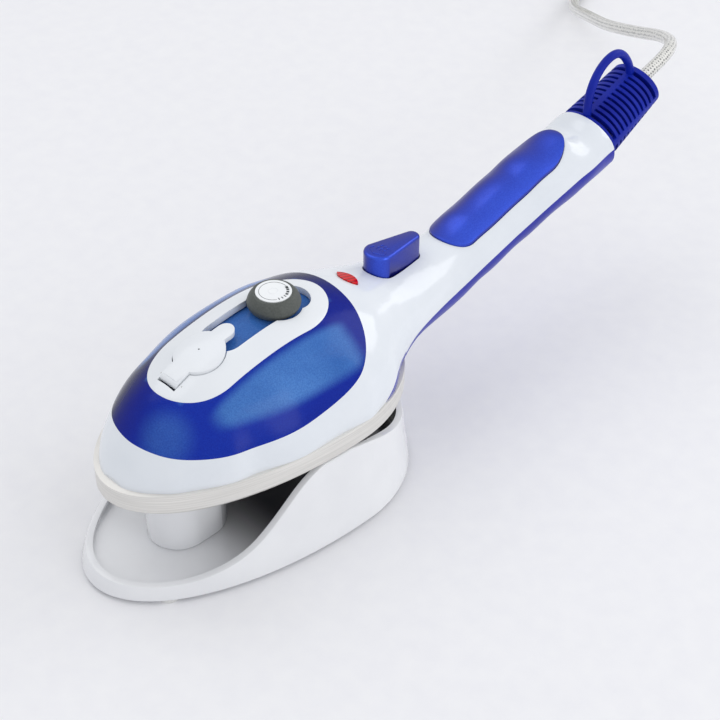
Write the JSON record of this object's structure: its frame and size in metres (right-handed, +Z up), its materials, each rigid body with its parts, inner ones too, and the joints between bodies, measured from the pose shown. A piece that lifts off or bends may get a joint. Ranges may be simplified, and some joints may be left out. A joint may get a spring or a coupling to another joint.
{
  "type": "garment steamer",
  "caption": "Hand-held steam iron style garment steamer with blue water tank, dial, steam button and ribbed cord guard with hanging loop, resting on its white stand.",
  "frame": {"origin": "middle of the footprint of the steamer on its stand, at floor level", "axes": "+Y from the nose of the soleplate towards the cord end of the handle, +Z up, +X to the side that is on the right for someone who stands at the nose and looks along +Y"},
  "size_m": [0.4076, 0.747, 0.1441],
  "materials": {
    "white_abs": "gloss moulded",
    "white_stand": "gloss moulded",
    "tank_blue": "translucent moulded",
    "natural_plastic": "moulded",
    "pearl_blue": "pearl moulded",
    "blue_abs": "satin moulded",
    "blue_pvc": "soft moulded",
    "grey_rubber": "matte",
    "printed_disc": "printed",
    "cast_aluminium": "cast and brushed",
    "steel": "plain",
    "ceramic": "ceramic",
    "phenolic": "phenolic",
    "silicone": "silicone",
    "red_lens": "clear moulded",
    "neon": "clear",
    "cord_jacket": "clear PVC over braid",
    "wire_pvc": "PVC",
    "plug_pvc": "moulded PVC",
    "nickel": "nickel plated"
  },
  "bodies": {
    "stand": {"stand_base": "white_stand", "front_post": "white_stand", "rest_pad": "silicone", "stand_feet": "silicone", "cord_coil": "cord_jacket", "plug_relief": "plug_pvc", "plug_body": "plug_pvc", "plug_pins": "nickel"},
    "dial": {"dial_knob": "grey_rubber", "dial_disc": "printed_disc", "dial_shaft": "steel"},
    "filler_lid": {"filler_lid": "white_abs", "filler_seal": "silicone"},
    "steam_button": {"steam_button": "pearl_blue", "pump_piston": "natural_plastic"},
    "steamer": {"soleplate": "cast_aluminium", "heating_element": "steel", "chamber_cover": "steel", "cover_screws": "steel", "thermostat": "ceramic", "thermal_fuse": "ceramic", "heat_shield": "phenolic", "upper_housing": "white_abs", "lower_handle_cover": "blue_abs", "water_tank": "tank_blue", "tank_floor": "natural_plastic", "filler_neck": "natural_plastic", "trim_ring": "white_abs", "lid_hinge_pin": "steel", "pump_cylinder": "natural_plastic", "button_spring": "steel", "suction_tube": "silicone", "steam_feed_tube": "silicone", "lamp_lens": "red_lens", "neon_lamp": "neon", "grip_pad": "pearl_blue", "cord_guard": "blue_pvc", "hanging_loop": "blue_pvc", "cord_sleeve": "blue_pvc", "supply_lead": "wire_pvc", "cord_clamp": "phenolic", "clamp_screws": "steel", "terminal_block": "phenolic", "inner_wires": "wire_pvc", "housing_screws": "steel", "power_cord": "cord_jacket"}
  },
  "joints": [
    {"name": "steamer_lift", "type": "slide", "parent": "stand", "child": "steamer", "axis": [0, 0, 1], "range_m": [0, 0.06]},
    {"name": "dial_turn", "type": "hinge", "parent": "steamer", "child": "dial", "pos_m": [0, -0.0799, 0.105], "axis": [0, 0, 1], "range_deg": [0, 270]},
    {"name": "lid_hinge", "type": "hinge", "parent": "steamer", "child": "filler_lid", "pos_m": [0, -0.1437, 0.09646], "axis": [1, 0, 0], "range_deg": [0, 85]},
    {"name": "steam_button_press", "type": "slide", "parent": "steamer", "child": "steam_button", "axis": [0, 0, 1], "range_m": [-0.0036, 0], "stiffness_N_per_m": 500, "springref_m": 0.004, "deforming": ["button_spring"]}
  ]
}
